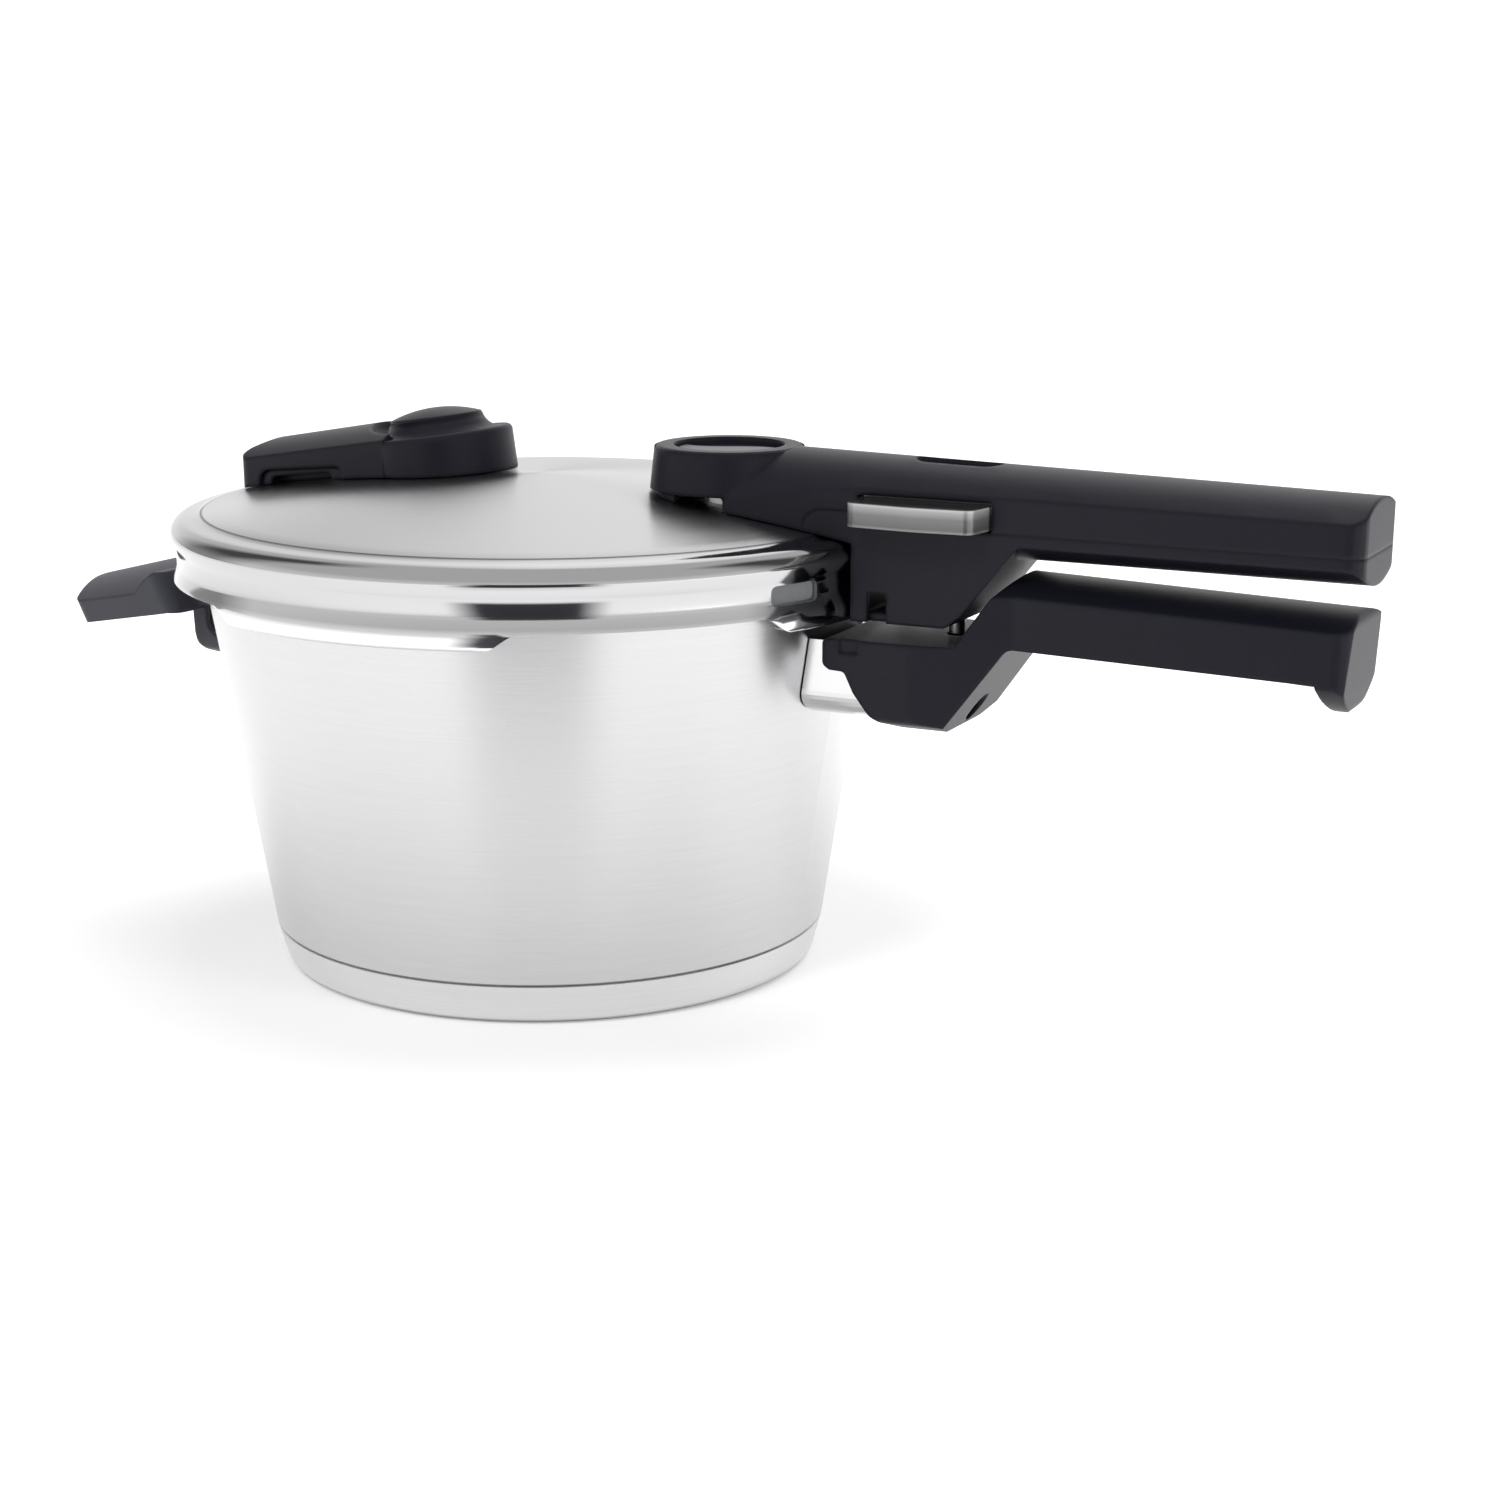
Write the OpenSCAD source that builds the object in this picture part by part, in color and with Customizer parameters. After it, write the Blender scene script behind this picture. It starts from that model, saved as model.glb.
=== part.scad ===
// Stovetop pressure cooker: a tapered steel pot with a capsule base, a bayonet lid with a
// folded skirt, two long handles that close one above the other, a helper handle, a push
// button that lifts the lid lock, and a rising cooking indicator over the steam valve.
// Origin: centre of the base's underside on the pot's axis. +X runs along the long handles.

/* [Pot] */
// Outer radius of the wall just under the rim
mouth_r = 109.6; // [105:0.1:115]
// Outer radius of the wall at the seam of the base
seam_r = 92; // [86:0.1:98]
// Height of the rim above the underside
rim_z = 131; // [120:0.5:160]
// Height of the seam between the base capsule and the wall
seam_z = 13.2; // [11:0.1:16]
// Thickness of the wall's sheet
wall_t = 1.2; // [0.8:0.1:1.6]
// Thickness of the whole base under the pot's floor
base_t = 7.5; // [6:0.1:9]
// Thickness of the capsule's sheet
capsule_t = 0.8; // [0.6:0.1:1.2]
// Width of the turned-out rim
flange_w = 3; // [2.6:0.1:4]
// Reach of a bayonet lug past the rim
lug_w = 4.2; // [3.5:0.1:5]
// Height of a lug's turned-down edge
lug_drop = 5.7; // [4.5:0.1:6.5]
// Half of the angle that a lug covers, degrees
lug_half = 19; // [14:0.5:20]

/* [Lid] */
// Thickness of the lid's sheet
lid_t = 1.4; // [1:0.1:1.8]
// Gap between a lug and the skirt's inside
lug_gap = 1.2; // [0.8:0.1:2]
// Height of the lid's edge above the pot's rim
lid_stack = 14.3; // [13:0.1:18]
// Rise of the dome above the lid's edge
dome_rise = 14.1; // [10:0.1:20]
// Depth of the deep skirt below the pot's rim
skirt_deep = 7.6; // [7:0.1:9]
// Depth of the shallow skirt below the pot's rim
skirt_shallow = 2.3; // [1.5:0.1:3.5]
// Half of the angle that a deep part of the skirt covers, degrees
skirt_half = 24; // [22:0.5:25]
// Width of the hook folded in under the pot's lugs
hook_w = 4.9; // [4:0.1:5]
// Depth of the band pressed into the collar
band_depth = 1.9; // [1:0.1:2.2]

/* [Lid handle] */
// Reach of the handle past the lid's edge
grip_len = 154.5; // [120:0.5:180]
// Half of the handle's width
grip_half = 19.5; // [18:0.5:22]
// Distance from the lid's edge back to the centre of the round head
head_back = 52; // [48:0.5:56]
// Radius of the head at its top
head_r = 23.5; // [22:0.5:26]
// Thickness of the moulded walls
shell_t = 2.4; // [2:0.1:3]
// Height of the parting line above the lid's edge
part_h = 8; // [7:0.1:9]
// Length of the operating button
button_len = 41; // [34:0.5:42]
// How far the button stands out of the handle's side
button_out = 11.5; // [8:0.5:13]
// Travel of the button into the handle
button_travel = 6; // [4:0.5:6]

/* [Pot handle] */
// Reach of the pot's handle past the wall under the rim
pot_grip_len = 163; // [140:0.5:190]
// Half of the grip's width
pot_grip_half = 19; // [17:0.5:21]
// Half of the width where the handle meets the pot
pot_head_half = 24.5; // [24:0.5:27]
// Half of the flame guard's width
guard_half = 21.5; // [20:0.5:21.5]
// Thickness of the guards' sheet
guard_t = 0.8; // [0.6:0.1:1.2]

/* [Helper handle] */
// Reach of the helper handle past the wall under the rim
helper_len = 70; // [50:1:75]
// Half of the helper handle's width
helper_half = 35; // [30:0.5:42]
// Half of the width at the helper handle's tip
helper_tip_half = 27; // [20:0.5:30]
// Half of the width of its foot on the pot
helper_foot_half = 20; // [18:0.5:22]

/* [Valve] */
// Distance from the lid's axis to the valve
valve_x = 40; // [38:0.5:41]
// Radius of the domed indicator cap
cap_r = 15; // [14:0.1:15.5]
// How far the indicator rises under pressure
cap_rise = 5; // [4:0.5:5.5]
// Height of the cap's dome over its edge
cap_dome = 2.8; // [2:0.1:5]
// Radius of the valve housing's round end
housing_r = 24.4; // [23:0.1:25]
// Half width of the housing's flat end
tail_half = 17.5; // [15:0.5:19]
// Distance from the lid's edge to the housing's flat end
housing_inset = 12.5; // [9:0.5:18]
// Lean of the housing's round end, with the slope of the lid
lean = 8; // [4:0.5:10]

/* [Fits] */
// Gap between pieces that are fixed side by side
fit_gap = 0.15; // [0.1:0.05:0.3]
// Gap between pieces that move past each other
run_gap = 0.3; // [0.2:0.05:0.5]
// Radial clearance of a shaft in its bore
bore_gap = 0.05; // [0.03:0.01:0.09]

/* [Hidden] */
round_fn = 96;

STEEL = [0.80, 0.80, 0.80];
ALUMINIUM = [0.70, 0.71, 0.73];
BLACK = [0.16, 0.16, 0.20];
RUBBER = [0.30, 0.31, 0.33];
BRASS = [0.72, 0.60, 0.36];

// Pot, worked out from the driving sizes
lug_count = 4;
lug_pitch = 360 / lug_count;
flange_r = mouth_r + flange_w;
lug_r = flange_r + lug_w;
wall_top = rim_z - wall_t - 2;
wall_slope = (mouth_r - seam_r) / (wall_top - seam_z);
base_bend = 4.6;
base_flat_r = seam_r - 7.2;
floor_z = base_t + wall_t;

// Lid
skirt_r = lug_r + lug_gap + lid_t;
lid_r = skirt_r + 0.6;
edge_z = rim_z + lid_stack;
collar_r = 5.5;
dome_edge_r = lid_r - 4.4;
dome_edge_z = edge_z + 2.6;
dome_sag = dome_rise - 2.6;
dome_ball = (dome_edge_r * dome_edge_r + dome_sag * dome_sag) / (2 * dome_sag);
dome_top = dome_edge_z + dome_sag;
skirt_z = rim_z - skirt_deep;
shallow_z = rim_z - skirt_shallow;
window_angle = -20.5;
window_w = 19;

// Holes through the lid
head_x = lid_r - head_back;
float_x = lid_r - 25;
bolt_r = 4;
bolt_seat_r = 12;
valve_seat_r = 12.5;
valve_r = 7;
float_r = 4.2;
float_seat_r = 7;

// Lid handle
part_z = edge_z + part_h;
head_top = part_z + 18.9;
head_under = part_z + 5.5;
crown_z = part_z + 19.6;
crown_end_z = part_z + 15.3;
shoulder_z = part_z + 10.5;
shoulder_end_z = part_z + 9.4;
grip_end = lid_r + grip_len;
grip_low = edge_z + 4.6;
bracket_face = lid_r + 0.4;
bracket_low = skirt_z + 0.3;
lock_x = lid_r + 26;
lock_r = 2.5;
lock_lift = button_travel * 2 / 3;
button_x0 = lid_r + 2;
button_x1 = button_x0 + button_len;
button_z0 = part_z + 0.6;
button_h = 7.3;
ramp_top = button_z0 + button_h + 0.1;
button_front = -(grip_half + button_out);
button_back = -9;
slot_gap = 0.9;
flange_gap = 0.2;
spring_x = button_x0 + 6;
lock_spring_x = lock_x + 18;
handle_screw_x = [lid_r + 66, grip_end - 18];
window_l = 28;
window_half = 5.5;
window_x = lock_x;

// Pot handle
guard_reach = 18.4;
guard_low = rim_z - 39.2;
guard_high = rim_z - 13.6;
guard_bend = 7;
pot_handle_top = rim_z - 12.4;
pot_handle_low = guard_low - 2;
pot_knee_x = mouth_r + 60;
pot_grip_low = rim_z - 12;
pot_grip_low_end = rim_z - 18.8;
pot_hook_low = rim_z - 24.5;
screw_z = guard_low + 4.8;
screw_r = 2.2;
screw_head_r = 4.2;
boss_r = 3.6;
catch_r = 3.2;

// Helper handle
helper_reach = 15;
helper_screw_z = guard_low + 11.4;
helper_crown_z = rim_z + 6.4;
helper_slope = 0.252;
helper_thick = 9.8;
helper_under = rim_z - 23.8;

// Valve
housing_end = lid_r - housing_inset;
rim_plane_z = dome_top + 15.9;
wall_turn = atan((housing_r - 1.2 - tail_half) / (housing_end - valve_x - 6));
outlet_l = 35.6;
outlet_in = 8.5;
cap_floor_z = dome_top + 8.9;
cap_edge_z = cap_floor_z + run_gap;
stem_r = 3;
stem_low = edge_z - 12.4;
valve_low = edge_z + 1.6;
post_r = 5;
band_up = 2.4;

function arc(centre, r, from, to, n) =
  [for (i = [0 : n]) centre + r * [cos(from + (to - from) * i / n), sin(from + (to - from) * i / n)]];

// The direction to the right of a path at its point i
function right_of(path, i) =
  let (a = path[max(i - 1, 0)], b = path[min(i + 1, len(path) - 1)], d = (b - a) / norm(b - a))
  [d[1], -d[0]];

// The closed outline of a sheet of thickness t on the right-hand side of a path
function sheet(path, t) = concat(path,
  [for (i = [len(path) - 1 : -1 : 0])
    let (p = path[i] + t * right_of(path, i)) [max(p[0], 0), p[1]]]);

// One corner b between a and c, rounded with radius r
function corner(a, b, c, r, n) = r <= 0 ? [b] :
  let (u = (a - b) / norm(a - b), v = (c - b) / norm(c - b), half = acos(u * v) / 2,
       centre = b + (u + v) / norm(u + v) * r / sin(half),
       s = b + u * r / tan(half) - centre, e = b + v * r / tan(half) - centre,
       from = atan2(s[1], s[0]), turn = atan2(e[1], e[0]) - from,
       sweep = turn > 180 ? turn - 360 : turn < -180 ? turn + 360 : turn)
  arc(centre, r, from, from + sweep, n);

// An outline from corners [x, y, radius]
function outline(p, n = 4) =
  [for (i = [0 : len(p) - 1])
    let (a = p[(i + len(p) - 1) % len(p)], b = p[i], c = p[(i + 1) % len(p)])
    each corner([a[0], a[1]], [b[0], b[1]], [c[0], c[1]], b[2], n)];

// Corners of a counter-clockwise outline moved inwards by d
function inset(p, d) =
  [for (i = [0 : len(p) - 1])
    let (a = p[(i + len(p) - 1) % len(p)], b = p[i], c = p[(i + 1) % len(p)],
         ab = [b[0] - a[0], b[1] - a[1]], bc = [c[0] - b[0], c[1] - b[1]],
         u = ab / norm(ab), v = bc / norm(bc),
         m = ([-u[1], u[0]] + [-v[1], v[0]]) * d / (1 + u * v))
    [b[0] + m[0], b[1] + m[1], max(b[2] - d, 0.4)]];

// Outer radius of the capsule's slope, and of the pot's wall, at a height
function capsule_r(z) = let (foot = [base_flat_r + base_bend * cos(15), base_bend * (1 - sin(15))])
  foot[0] + (seam_r - 0.1 - foot[0]) * (z - foot[1]) / (seam_z - foot[1]);
function wall_r(z) = seam_r + wall_slope * (z - seam_z);
// Height of the dome's outside at a distance from the axis
function dome_z(r) = dome_top - dome_ball + sqrt(dome_ball * dome_ball - r * r);
// Flat pads pressed into the dome where hardware is clamped
function pad_top(x, r) = dome_z(x - r);
function pad_low(x, r) = dome_z(x + r) - lid_t;

// An outline in X and Z, extruded across the handle
module side_prism(points, half) {
  translate([0, half, 0]) rotate([90, 0, 0]) linear_extrude(2 * half) polygon(points);
}

// An outline in X and Y, extruded upwards
module plan_prism(points, low, high) {
  translate([0, 0, low]) linear_extrude(high - low) polygon(points);
}

// An outline in Y and Z, extruded along a handle
module end_prism(points, x0, x1) {
  translate([x0, 0, 0]) rotate([90, 0, 90]) linear_extrude(x1 - x0) polygon(points);
}

// A cross-section with upright sides and a gently arched underside
function arched(half, low, high, bend) = outline([[-half, low + 4.6, bend],
  [-half * 0.42, low, 26], [half * 0.42, low, 26], [half, low + 4.6, bend],
  [half, high, 0], [-half, high, 0]], 6);

// A cylinder that lies under a grip along X, touching two given lowest points
module belly(x0, low0, x1, low1, r) {
  run = x1 - x0;
  translate([x0, 0, low0 + r]) rotate([0, 90 - atan((low1 - low0) / run), 0])
    cylinder(h = norm([run, low1 - low0]), r = r, $fn = round_fn);
}

// A crown across a handle: a cone that lies along X, through two given tops and shoulders
module crown(x0, top0, shoulder0, x1, top1, shoulder1, half, inside = 0) {
  r0 = (half * half / (top0 - shoulder0) + top0 - shoulder0) / 2;
  r1 = (half * half / (top1 - shoulder1) + top1 - shoulder1) / 2;
  tilt = atan((top0 - r0 - top1 + r1) / (x1 - x0));
  translate([x0, 0, top0 - r0 / cos(tilt)]) rotate([0, 90 + tilt, 0])
    cylinder(h = (x1 - x0) / cos(tilt), r1 = r0 - inside, r2 = r1 - inside, $fn = round_fn);
}

module dome_space(gap) {
  intersection() {
    translate([0, 0, dome_top - dome_ball]) sphere(r = dome_ball + gap, $fn = round_fn);
    cylinder(h = dome_top + 5, r = lid_r + gap, $fn = round_fn);
  }
}

// The room that the pot's wall takes up, with a gap around it
module wall_space(gap) {
  rotate_extrude($fn = round_fn) polygon([[0, 0], [wall_r(0) + gap, 0],
    [wall_r(wall_top) + gap, wall_top], [flange_r + gap, wall_top + 1], [flange_r + gap, rim_z], [0, rim_z]]);
}

// The room over a pad, with a gap around and above it
module pad_space(x, r, gap) {
  translate([x, 0, edge_z]) cylinder(h = pad_top(x, r) + gap - edge_z, r = r + gap, $fn = round_fn);
}

// A round-wire coil spring that stands on the origin
module coil(r, wire, height, turns) {
  per_turn = 12;
  sides = 6;
  rings = per_turn * turns;
  points = [for (i = [0 : rings], j = [0 : sides - 1])
    let (a = 360 * i / per_turn, b = 360 * j / sides, reach = r + wire / 2 * cos(b))
    [reach * cos(a), reach * sin(a), wire / 2 + (height - wire) * i / rings + wire / 2 * sin(b)]];
  skin = [for (i = [0 : rings - 1], j = [0 : sides - 1])
    let (k = (j + 1) % sides, a = i * sides, b = a + sides)
    each [[a + j, b + j, b + k], [a + j, b + k, a + k]]];
  ends = [[for (j = [0 : sides - 1]) j], [for (j = [sides - 1 : -1 : 0]) rings * sides + j]];
  polyhedron(points, concat(skin, ends));
}

// ---- Pot ----

module pot_body() {
  bend = 5.5;
  sheath = 1.05 * capsule_t + fit_gap;
  wall_angle = 90 - atan(wall_slope);
  lip = arc([mouth_r + 2 * sin(wall_angle), wall_top], 2, 180 - (90 - wall_angle), 90, 4);
  path = concat([[0, base_t]],
    arc([capsule_r(base_t + bend) - sheath - bend, base_t + bend], bend, -90, 0, 5),
    [[capsule_r(seam_z) - sheath, seam_z + 0.05], [seam_r, seam_z + 1]], lip, [[flange_r, rim_z - wall_t]]);
  lug = concat([[flange_r - 1.5, rim_z]], arc([lug_r - 1.6, rim_z - 1.6], 1.6, 90, 0, 4),
    [[lug_r, rim_z - lug_drop]]);
  color(STEEL) union() {
    rotate_extrude($fn = round_fn) polygon(sheet(path, -wall_t));
    for (i = [0 : lug_count - 1])
      rotate([0, 0, i * lug_pitch - lug_half])
        rotate_extrude(angle = 2 * lug_half, $fn = round_fn) polygon(sheet(lug, wall_t));
  }
}

// Path of the capsule's outside, or of a surface inside it
function base_path(inside) = concat(
  [[0, inside]],
  arc([base_flat_r, base_bend], base_bend - inside, -90, -15, 4));

module base_core() {
  fill = capsule_t + fit_gap;
  path = arc([base_flat_r, base_bend], base_bend - fill, -75, -15, 3);
  color(ALUMINIUM) rotate_extrude($fn = round_fn)
    polygon(concat([[0, capsule_t], [base_flat_r - 1, capsule_t]], path,
      [[path[3][0] + 0.6, base_t], [0, base_t]]));
}

module base_capsule() {
  path = concat(base_path(0), [[seam_r - 0.1, seam_z]]);
  color(STEEL) rotate_extrude($fn = round_fn) polygon(sheet(path, -capsule_t));
}

// The room inside or around a guard, d larger than its outside
module guard_form(half, reach, toe, d) {
  far = wall_r(rim_z) + reach + d;
  intersection() {
    side_prism(outline([[seam_r, guard_low - d, 0], [far, guard_low - d, toe],
      [far, guard_high + d, 0], [seam_r, guard_high + d, 0]]), half + d);
    end_prism(arched(half + d, guard_low - d, guard_high + d + 1, guard_bend + d), seam_r, far + 1);
  }
}

// A sheet guard between a handle and the pot: two cheeks and a floor, open at the top and ends
module guard(half, reach, toe) {
  inner = half - guard_t;
  difference() {
    guard_form(half, reach, toe, 0);
    end_prism(arched(inner, guard_low + guard_t, guard_high + 2, guard_bend - guard_t),
      seam_r - 1, lid_r + 20);
    wall_space(run_gap);
  }
}

module flame_guard() {
  color(STEEL) guard(guard_half, guard_reach, 0);
}

// A folded bracket welded to the wall, with a boss for the handle's screw
module bracket(half, reach, z) {
  low = guard_low + 5.6;
  high = guard_high - 2;
  plate = wall_r(rim_z) + 7;
  difference() {
    union() {
      translate([0, -half, low]) cube([plate, 2 * half, high - low]);
      translate([0, -boss_r - 2, z - 1]) cube([plate, 2 * boss_r + 4, 12]);
      translate([plate - 1, 0, z]) rotate([0, 90, 0]) cylinder(h = reach - 6, r = boss_r, $fn = round_fn);
    }
    translate([0, -half + 2, low - 9]) cube([plate - 2, 2 * half - 4, high - low + 12]);
    translate([plate - 5, 0, z]) rotate([0, 90, 0])
      cylinder(h = 20, r = screw_r + bore_gap, $fn = round_fn);
    wall_space(0.02);
  }
}

module handle_bracket() {
  color(STEEL) bracket(guard_half - 5, guard_reach, screw_z);
}

// The long pot handle, seen from the side: the head on the pot, the slope and the grip
function pot_handle_side() = [
  [mouth_r + 2.2, pot_handle_top, 1.5], [mouth_r + 2.2, rim_z - 20.5, 2], [mouth_r + 4.5, rim_z - 22, 1],
  [mouth_r + 9.4, rim_z - 22.2, 2], [mouth_r + 12.5, rim_z - 28.5, 6], [mouth_r + 18, rim_z - 35.5, 5],
  [mouth_r + 26, pot_handle_low, 4], [mouth_r + 38.5, pot_handle_low, 4],
  [pot_knee_x, pot_grip_low, 4], [mouth_r + pot_grip_len, pot_grip_low - 2.6, 0],
  [mouth_r + pot_grip_len, rim_z + 11, 0], [pot_knee_x + 2, rim_z + 11, 6],
  [pot_knee_x - 5, rim_z + 3.2, 3], [pot_knee_x - 16, pot_handle_top, 3]];

// The rounded underside of the grip, with the hook at its end
module pot_grip_belly() {
  end = mouth_r + pot_grip_len;
  intersection() {
    side_prism([[pot_knee_x - 3, pot_grip_low + 0.1], [end, pot_grip_low_end - 1], [end, rim_z],
      [pot_knee_x + 8, rim_z]], pot_grip_half);
    belly(pot_knee_x - 10, pot_grip_low, end + 10, pot_grip_low_end, 45);
  }
  intersection() {
    side_prism(outline([[end - 6.4, pot_hook_low, 2.4], [end - 2.4, pot_hook_low, 2.4], [end, rim_z, 0],
      [end - 14, rim_z, 0], [end - 8.5, pot_grip_low_end - 0.5, 4]]), pot_grip_half);
    belly(end - 30, pot_hook_low, end + 10, pot_hook_low, 24);
  }
}

module pot_handle() {
  end = mouth_r + pot_grip_len;
  plan = outline([[mouth_r, -pot_head_half, 0], [mouth_r + 30, -pot_head_half, 12],
    [pot_knee_x + 2, -pot_grip_half, 12], [end, -pot_grip_half, 5],
    [end, pot_grip_half, 5], [pot_knee_x + 2, pot_grip_half, 12],
    [mouth_r + 30, pot_head_half, 12], [mouth_r, pot_head_half, 0]]);
  color(BLACK) difference() {
    intersection() {
      plan_prism(plan, 0, 300);
      crown(mouth_r - 10, rim_z + 10.7, rim_z + 5.8, end + 10, rim_z + 4.9, rim_z + 0.4, pot_grip_half);
      side_prism(outline([[mouth_r, 60, 0], [end - 5.6, 60, 0], [end, rim_z + 5.2, 3],
        [mouth_r, rim_z + 11, 0]]), pot_head_half + 1);
      union() {
        intersection() {
          side_prism(outline(pot_handle_side()), pot_head_half + 1);
          end_prism(arched(pot_head_half, pot_handle_low, rim_z + 40, 4), mouth_r, end + 1);
        }
        pot_grip_belly();
      }
    }
    pot_handle_pocket();
    translate([lock_x, 0, pot_handle_top - 4.5]) cylinder(h = 20, r = catch_r, $fn = round_fn);
    pot_handle_notches();
  }
}

// The room for the guard, the bracket and the screw
module pot_handle_pocket() {
  reach = wall_r(rim_z) + guard_reach + fit_gap;
  guard_form(guard_half, guard_reach, 0, fit_gap);
  translate([reach - 2, 0, screw_z]) rotate([0, 90, 0])
    cylinder(h = 60, r = screw_r + bore_gap, $fn = round_fn);
  translate([reach + 5, 0, screw_z]) rotate([0, 90, 0])
    cylinder(h = 60, r = screw_head_r + fit_gap, $fn = round_fn);
}

module pot_handle_notches() {
  for (side = [-1, 1])
    translate([mouth_r + 7.6, side * (pot_head_half + 1) - 2, pot_handle_top - 4.2]) cube([6.2, 4, 10]);
}

module pot_handle_screw() {
  seat = wall_r(rim_z) + guard_reach + fit_gap + 5;
  color(STEEL) difference() {
    union() {
      translate([wall_r(rim_z) + 8, 0, screw_z]) rotate([0, 90, 0])
        cylinder(h = seat - wall_r(rim_z) - 8, r = screw_r, $fn = round_fn);
      translate([seat, 0, screw_z]) rotate([0, 90, 0]) cylinder(h = 3, r = screw_head_r, $fn = round_fn);
    }
    translate([seat + 1.6, -3.4, screw_z - 0.5]) cube([4, 6.8, 1]);
    translate([seat + 1.6, -0.5, screw_z - 3.4]) cube([4, 1, 6.8]);
  }
}

// ---- Helper handle ----

module helper_guard() {
  color(STEEL) mirror([1, 0, 0]) guard(helper_foot_half - 2.5, helper_reach, guard_bend);
}

module helper_bracket() {
  color(STEEL) mirror([1, 0, 0]) bracket(helper_foot_half - 6, helper_reach, helper_screw_z);
}

module helper_screw() {
  seat = wall_r(rim_z) + helper_reach + fit_gap + 1.3;
  color(STEEL) mirror([1, 0, 0]) difference() {
    union() {
      translate([wall_r(rim_z) + 8, 0, helper_screw_z]) rotate([0, 90, 0])
        cylinder(h = seat - wall_r(rim_z) - 8, r = screw_r, $fn = round_fn);
      translate([seat, 0, helper_screw_z]) rotate([0, 90, 0])
        cylinder(h = 1.6, r = screw_head_r, $fn = round_fn);
    }
    translate([seat + 0.8, -3, helper_screw_z - 0.4]) cube([4, 6, 0.8]);
    translate([seat + 0.8, -0.4, helper_screw_z - 3]) cube([4, 0.8, 6]);
  }
}

// The wing of the helper handle, seen from the side, with the raised lip at its root
function helper_wing() = [
  [mouth_r + 12, helper_under + 2.3, 0], [mouth_r + 23.5, helper_under, 3],
  [mouth_r + helper_len - 8.6, helper_under - 7.2, 3], [mouth_r + helper_len + 6, helper_under - 4.2, 0],
  [mouth_r + helper_len + 6, rim_z, 0], [mouth_r + 12, rim_z, 0]];
function helper_lip() = [
  [mouth_r + 14, helper_under + 1, 0], [mouth_r + 38.8, helper_under + 1, 0], [mouth_r + 29, rim_z - 13, 5],
  [mouth_r + 24, rim_z - 9.4, 2], [mouth_r + 14, rim_z - 9.4, 2]];

// The wing's plan, measured from its tip, on a plane that leans with the tip's face
function helper_plan() = let (n = helper_len * 0.94) outline([
  [10 - n, -helper_foot_half, 0], [17 - n, -helper_foot_half - 1, 3], [18.5 - n, -helper_half, 4],
  [-3, -helper_tip_half, 4], [0, -6, 30], [0, 6, 30], [-3, helper_tip_half, 4],
  [18.5 - n, helper_half, 4], [17 - n, helper_foot_half + 1, 3], [10 - n, helper_foot_half, 0]]);

// The wing's crown, from above or shifted down to hollow its underside
module helper_crown(drop) {
  top = helper_crown_z - drop;
  low = top - (helper_len + 40) * helper_slope;
  crown(mouth_r - 22, top, top - 8, mouth_r + helper_len + 18, low, low - 16, helper_half);
}

// The neck that joins the wing to the foot, and the strip round the guard
module helper_foot() {
  face = wall_r(rim_z) + helper_reach;
  side_prism(outline([[mouth_r + 4.4, guard_high - 1.5, 1], [mouth_r + 9, rim_z - 21.2, 1],
    [face + 6, rim_z - 22.4, 3], [face + 10, rim_z - 20, 0], [face + 10, rim_z - 13.5, 0],
    [face + 8, rim_z - 9.5, 1.5],
    [face + 1, rim_z - 9.5, 4], [mouth_r + 4.4, rim_z - 11.6, 1.5]]), helper_foot_half + 0.9);
  intersection() {
    side_prism(outline([[mouth_r + 4, guard_low - 2, 0], [face + 2.4, guard_low - 2, guard_bend + 3],
      [face + 3.2, guard_low + 18, 0], [face - 2, guard_low + 18, 0], [face - 2, guard_low + 9, 6],
      [face - 9, guard_low + 5, 3], [mouth_r + 4, guard_low + 4.4, 0]]), helper_foot_half);
    end_prism(arched(helper_foot_half, guard_low - 2, guard_high, 5), mouth_r, lid_r + 20);
  }
}

module helper_handle() {
  face = wall_r(rim_z) + helper_reach;
  color(BLACK) mirror([1, 0, 0]) difference() {
    union() {
      intersection() {
        union() {
          intersection() {
            side_prism(outline(helper_wing()), helper_half + 1);
            helper_crown(0);
          }
          side_prism(outline(helper_lip()), helper_half + 1);
        }
        translate([mouth_r + helper_len, 0, rim_z - 18]) rotate([0, 26, 0])
          plan_prism(helper_plan(), -60, 60);
      }
      helper_foot();
    }
    intersection() {
      helper_crown(helper_thick);
      translate([mouth_r + 24.5, -helper_half - 1, 60]) cube([100, 2 * helper_half + 2, 90]);
    }
    guard_form(helper_foot_half - 2.5, helper_reach, guard_bend, fit_gap);
    translate([face - 1, 0, helper_screw_z]) rotate([0, 90, 0])
      cylinder(h = 60, r = screw_r + bore_gap, $fn = round_fn);
    translate([face + fit_gap + 1.3, 0, helper_screw_z]) rotate([0, 90, 0])
      cylinder(h = 8, r = screw_head_r + fit_gap, $fn = round_fn);
    wall_space(run_gap);
  }
}

// ---- Lid ----

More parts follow.
